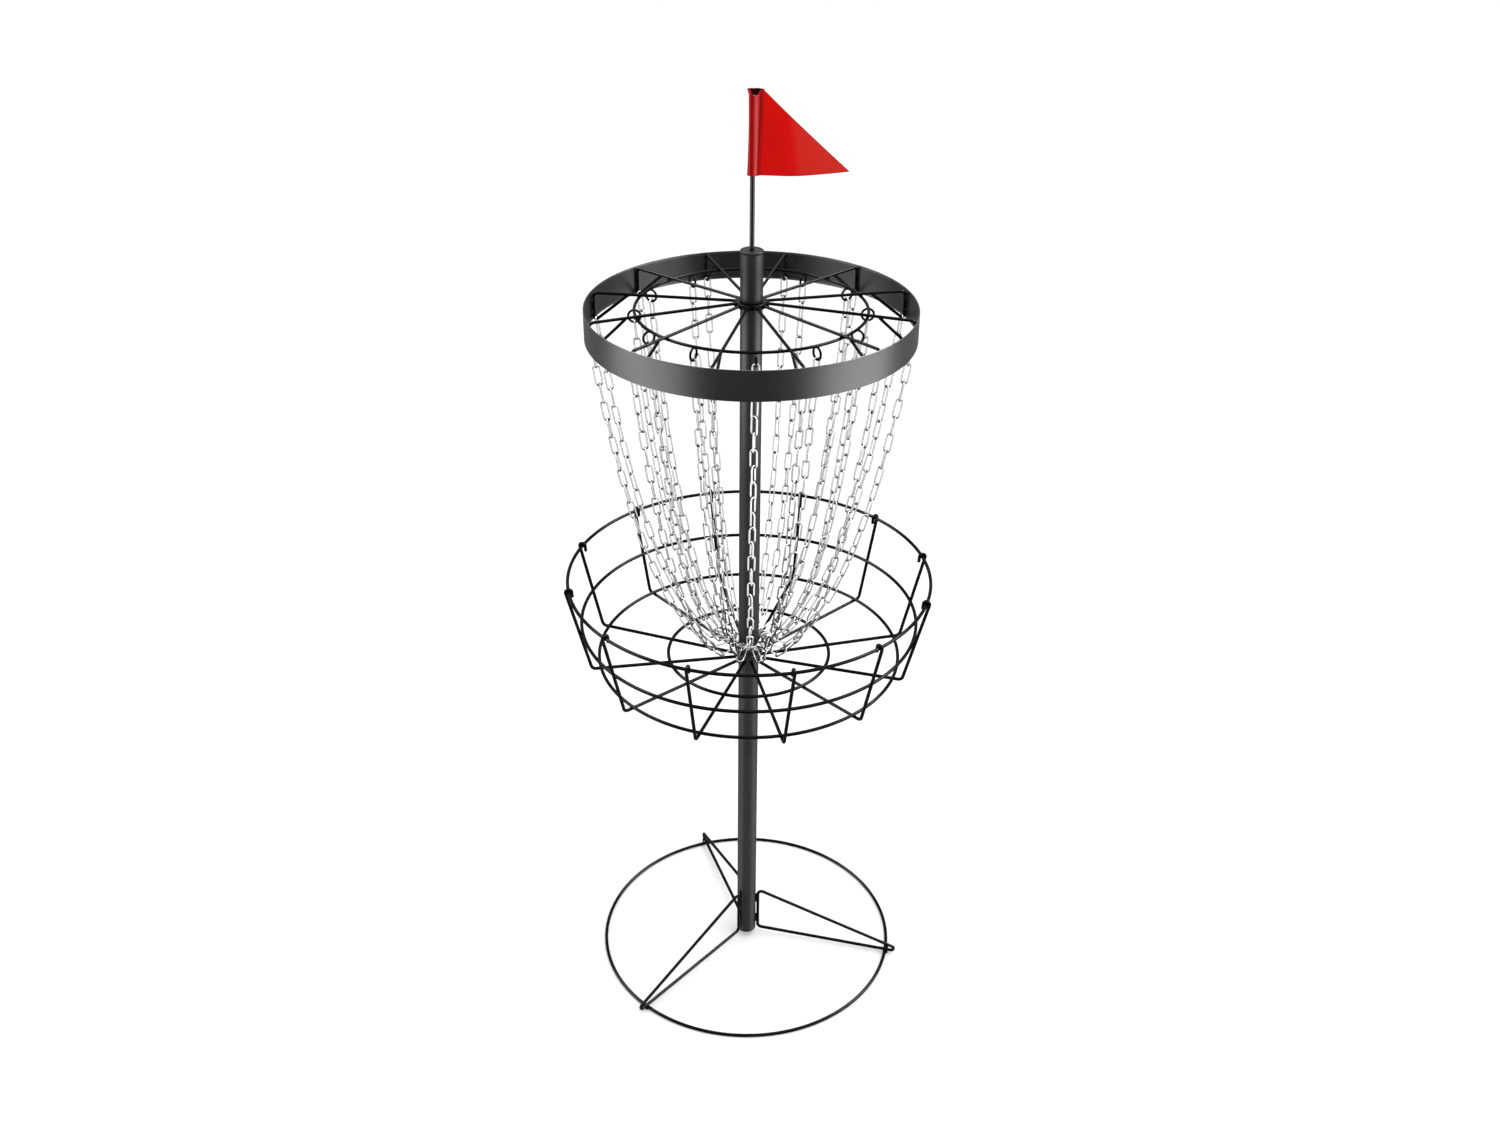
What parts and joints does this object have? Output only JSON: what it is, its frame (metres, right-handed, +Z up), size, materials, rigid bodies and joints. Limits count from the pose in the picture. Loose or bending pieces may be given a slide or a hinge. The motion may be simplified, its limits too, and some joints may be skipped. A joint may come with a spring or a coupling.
{
  "type": "disc golf basket",
  "caption": "Portable disc golf basket: wire foot ring and hooked legs, two-piece pole, wire catch tray, banded chain carrier with hanging chains, and a pennant on a rod.",
  "frame": {"origin": "on the pole axis at ground level, the underside of the base ring", "axes": "+Z up along the pole; +X towards the free corner of the pennant"},
  "size_m": [0.6312, 0.6312, 1.649],
  "materials": {
    "black_powder_coat": "satin black powder coat on steel tube and strip",
    "black_coated_wire": "semi-gloss black powder coat on round steel wire",
    "zinc_chain": "bright zinc plate",
    "black_plastic": "fine-textured moulded plastic",
    "red_flag_cloth": "smooth woven nylon, slight sheen"
  },
  "bodies": {
    "base": {"base_ring": "black_coated_wire", "leg_1": "black_coated_wire", "leg_2": "black_coated_wire", "leg_3": "black_coated_wire", "ring_clip_1": "black_coated_wire", "ring_clip_2": "black_coated_wire", "ring_clip_3": "black_coated_wire"},
    "pole": {"lower_pole": "black_powder_coat", "foot_plug": "black_plastic"},
    "basket": {"basket_hub": "black_powder_coat", "basket_rib_01": "black_coated_wire", "basket_rib_02": "black_coated_wire", "basket_rib_03": "black_coated_wire", "basket_rib_04": "black_coated_wire", "basket_rib_05": "black_coated_wire", "basket_rib_06": "black_coated_wire", "basket_rib_07": "black_coated_wire", "basket_rib_08": "black_coated_wire", "basket_rib_09": "black_coated_wire", "basket_rib_10": "black_coated_wire", "basket_rib_11": "black_coated_wire", "basket_rib_12": "black_coated_wire", "rim_ring": "black_coated_wire", "mid_ring": "black_coated_wire", "lower_ring": "black_coated_wire", "floor_ring": "black_coated_wire"},
    "upper_pole": {"upper_pole": "black_powder_coat"},
    "carrier": {"spoke_frame": "black_coated_wire", "deflector_band": "black_powder_coat", "chain_ring": "black_coated_wire", "collector_ring": "zinc_chain"},
    "chain_outer_01": {"chain_outer_01": "zinc_chain"},
    "chain_outer_02": {"chain_outer_02": "zinc_chain"},
    "chain_outer_03": {"chain_outer_03": "zinc_chain"},
    "chain_outer_04": {"chain_outer_04": "zinc_chain"},
    "chain_outer_05": {"chain_outer_05": "zinc_chain"},
    "chain_outer_06": {"chain_outer_06": "zinc_chain"},
    "chain_outer_07": {"chain_outer_07": "zinc_chain"},
    "chain_outer_08": {"chain_outer_08": "zinc_chain"},
    "chain_outer_09": {"chain_outer_09": "zinc_chain"},
    "chain_outer_10": {"chain_outer_10": "zinc_chain"},
    "chain_outer_11": {"chain_outer_11": "zinc_chain"},
    "chain_outer_12": {"chain_outer_12": "zinc_chain"},
    "chain_inner_01": {"chain_inner_01": "zinc_chain"},
    "chain_inner_02": {"chain_inner_02": "zinc_chain"},
    "chain_inner_03": {"chain_inner_03": "zinc_chain"},
    "chain_inner_04": {"chain_inner_04": "zinc_chain"},
    "chain_inner_05": {"chain_inner_05": "zinc_chain"},
    "chain_inner_06": {"chain_inner_06": "zinc_chain"},
    "chain_inner_07": {"chain_inner_07": "zinc_chain"},
    "chain_inner_08": {"chain_inner_08": "zinc_chain"},
    "chain_inner_09": {"chain_inner_09": "zinc_chain"},
    "chain_inner_10": {"chain_inner_10": "zinc_chain"},
    "chain_inner_11": {"chain_inner_11": "zinc_chain"},
    "chain_inner_12": {"chain_inner_12": "zinc_chain"},
    "top_tube": {"top_tube": "black_powder_coat", "cap": "black_plastic"},
    "flag_rod": {"flag_rod": "black_coated_wire"},
    "flag": {"flag": "red_flag_cloth"}
  },
  "joints": [
    {"name": "pole_drop", "type": "slide", "parent": "base", "child": "pole", "axis": [0, 0, -1], "range_m": [0, 0.012]},
    {"name": "basket_turn", "type": "hinge", "parent": "pole", "child": "basket", "pos_m": [0, 0, 0.66], "axis": [0, 0, 1], "continuous": true},
    {"name": "upper_pole_lift", "type": "slide", "parent": "pole", "child": "upper_pole", "axis": [0, 0, 1], "range_m": [0, 0.069]},
    {"name": "carrier_turn", "type": "hinge", "parent": "upper_pole", "child": "carrier", "pos_m": [0, 0, 1.318], "axis": [0, 0, 1], "continuous": true},
    {"name": "top_tube_lift", "type": "slide", "parent": "upper_pole", "child": "top_tube", "axis": [0, 0, 1], "range_m": [0, 0.061]},
    {"name": "flag_rod_lift", "type": "slide", "parent": "top_tube", "child": "flag_rod", "axis": [0, 0, 1], "range_m": [0, 0.058]},
    {"name": "flag_turn", "type": "hinge", "parent": "flag_rod", "child": "flag", "pos_m": [0, 0, 1.585], "axis": [0, 0, 1], "continuous": true},
    {"name": "chain_outer_01_swing", "type": "hinge", "parent": "carrier", "child": "chain_outer_01", "pos_m": [0.24589, 0.07612, 1.2648], "axis": [-0.3486, -0.1079, -0.9311], "range_deg": [-20, 20]},
    {"name": "chain_outer_02_swing", "type": "hinge", "parent": "carrier", "child": "chain_outer_02", "pos_m": [0.17489, 0.18886, 1.2648], "axis": [-0.2479, -0.2677, -0.9311], "range_deg": [-20, 20]},
    {"name": "chain_outer_03_swing", "type": "hinge", "parent": "carrier", "child": "chain_outer_03", "pos_m": [0.05703, 0.251, 1.2648], "axis": [-0.0808, -0.3558, -0.9311], "range_deg": [-20, 20]},
    {"name": "chain_outer_04_swing", "type": "hinge", "parent": "carrier", "child": "chain_outer_04", "pos_m": [-0.07612, 0.24589, 1.2648], "axis": [0.1079, -0.3486, -0.9311], "range_deg": [-20, 20]},
    {"name": "chain_outer_05_swing", "type": "hinge", "parent": "carrier", "child": "chain_outer_05", "pos_m": [-0.18886, 0.17489, 1.2648], "axis": [0.2677, -0.2479, -0.9311], "range_deg": [-20, 20]},
    {"name": "chain_outer_06_swing", "type": "hinge", "parent": "carrier", "child": "chain_outer_06", "pos_m": [-0.251, 0.05703, 1.2648], "axis": [0.3558, -0.0808, -0.9311], "range_deg": [-20, 20]},
    {"name": "chain_outer_07_swing", "type": "hinge", "parent": "carrier", "child": "chain_outer_07", "pos_m": [-0.24589, -0.07612, 1.2648], "axis": [0.3486, 0.1079, -0.9311], "range_deg": [-20, 20]},
    {"name": "chain_outer_08_swing", "type": "hinge", "parent": "carrier", "child": "chain_outer_08", "pos_m": [-0.17489, -0.18886, 1.2648], "axis": [0.2479, 0.2677, -0.9311], "range_deg": [-20, 20]},
    {"name": "chain_outer_09_swing", "type": "hinge", "parent": "carrier", "child": "chain_outer_09", "pos_m": [-0.05703, -0.251, 1.2648], "axis": [0.0808, 0.3558, -0.9311], "range_deg": [-20, 20]},
    {"name": "chain_outer_10_swing", "type": "hinge", "parent": "carrier", "child": "chain_outer_10", "pos_m": [0.07612, -0.24589, 1.2648], "axis": [-0.1079, 0.3486, -0.9311], "range_deg": [-20, 20]},
    {"name": "chain_outer_11_swing", "type": "hinge", "parent": "carrier", "child": "chain_outer_11", "pos_m": [0.18886, -0.17489, 1.2648], "axis": [-0.2677, 0.2479, -0.9311], "range_deg": [-20, 20]},
    {"name": "chain_outer_12_swing", "type": "hinge", "parent": "carrier", "child": "chain_outer_12", "pos_m": [0.251, -0.05703, 1.2648], "axis": [-0.3558, 0.0808, -0.9311], "range_deg": [-20, 20]},
    {"name": "chain_inner_01_swing", "type": "hinge", "parent": "carrier", "child": "chain_inner_01", "pos_m": [0.18456, 0.00709, 1.2844], "axis": [-0.2489, -0.0096, -0.9685], "range_deg": [-20, 20]},
    {"name": "chain_inner_02_swing", "type": "hinge", "parent": "carrier", "child": "chain_inner_02", "pos_m": [0.15629, 0.09842, 1.2844], "axis": [-0.2108, -0.1327, -0.9685], "range_deg": [-20, 20]},
    {"name": "chain_inner_03_swing", "type": "hinge", "parent": "carrier", "child": "chain_inner_03", "pos_m": [0.08614, 0.16338, 1.2844], "axis": [-0.1162, -0.2203, -0.9685], "range_deg": [-20, 20]},
    {"name": "chain_inner_04_swing", "type": "hinge", "parent": "carrier", "child": "chain_inner_04", "pos_m": [-0.00709, 0.18456, 1.2844], "axis": [0.0096, -0.2489, -0.9685], "range_deg": [-20, 20]},
    {"name": "chain_inner_05_swing", "type": "hinge", "parent": "carrier", "child": "chain_inner_05", "pos_m": [-0.09842, 0.15629, 1.2844], "axis": [0.1327, -0.2108, -0.9685], "range_deg": [-20, 20]},
    {"name": "chain_inner_06_swing", "type": "hinge", "parent": "carrier", "child": "chain_inner_06", "pos_m": [-0.16338, 0.08614, 1.2844], "axis": [0.2203, -0.1162, -0.9685], "range_deg": [-20, 20]},
    {"name": "chain_inner_07_swing", "type": "hinge", "parent": "carrier", "child": "chain_inner_07", "pos_m": [-0.18456, -0.00709, 1.2844], "axis": [0.2489, 0.0096, -0.9685], "range_deg": [-20, 20]},
    {"name": "chain_inner_08_swing", "type": "hinge", "parent": "carrier", "child": "chain_inner_08", "pos_m": [-0.15629, -0.09842, 1.2844], "axis": [0.2108, 0.1327, -0.9685], "range_deg": [-20, 20]},
    {"name": "chain_inner_09_swing", "type": "hinge", "parent": "carrier", "child": "chain_inner_09", "pos_m": [-0.08614, -0.16338, 1.2844], "axis": [0.1162, 0.2203, -0.9685], "range_deg": [-20, 20]},
    {"name": "chain_inner_10_swing", "type": "hinge", "parent": "carrier", "child": "chain_inner_10", "pos_m": [0.00709, -0.18456, 1.2844], "axis": [-0.0096, 0.2489, -0.9685], "range_deg": [-20, 20]},
    {"name": "chain_inner_11_swing", "type": "hinge", "parent": "carrier", "child": "chain_inner_11", "pos_m": [0.09842, -0.15629, 1.2844], "axis": [-0.1327, 0.2108, -0.9685], "range_deg": [-20, 20]},
    {"name": "chain_inner_12_swing", "type": "hinge", "parent": "carrier", "child": "chain_inner_12", "pos_m": [0.16338, -0.08614, 1.2844], "axis": [-0.2203, 0.1162, -0.9685], "range_deg": [-20, 20]}
  ]
}
